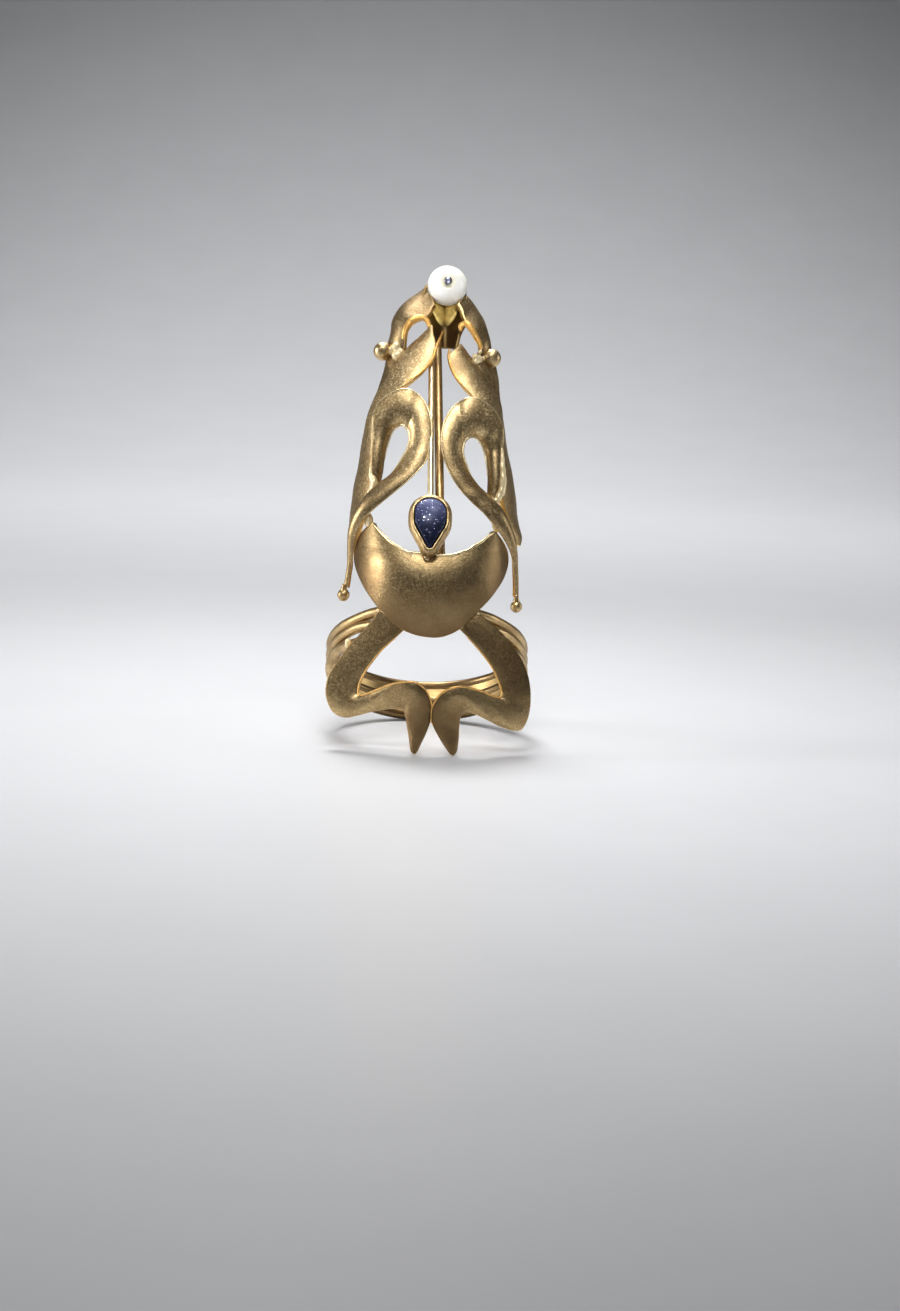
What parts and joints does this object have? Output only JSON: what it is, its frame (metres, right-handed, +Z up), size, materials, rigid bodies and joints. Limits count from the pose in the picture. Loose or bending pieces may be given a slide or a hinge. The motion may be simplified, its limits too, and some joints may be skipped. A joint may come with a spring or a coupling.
{
  "type": "nail ring",
  "caption": "Nail ring of satin gold sheet and wire: claws, a crescent plate, swan loops, a pear-shaped stone and a pearl under a hood.",
  "frame": {"origin": "middle of the bottom of the whole ring's box, on the surface that the ring stands on", "axes": "+X to the ring's right as seen from the front, +Y to its back, +Z up from the claws to the pearl"},
  "size_m": [0.021, 0.0234, 0.0486],
  "materials": {
    "gold": "satin, finely brushed",
    "pearl": "soft lustre",
    "pin": "dull",
    "stone": "polished, finely sparkling"
  },
  "bodies": {
    "root": {"ring_frame": "gold", "pearl": "pearl", "pearl_pin": "pin", "pear_stone": "stone"}
  },
  "joints": []
}
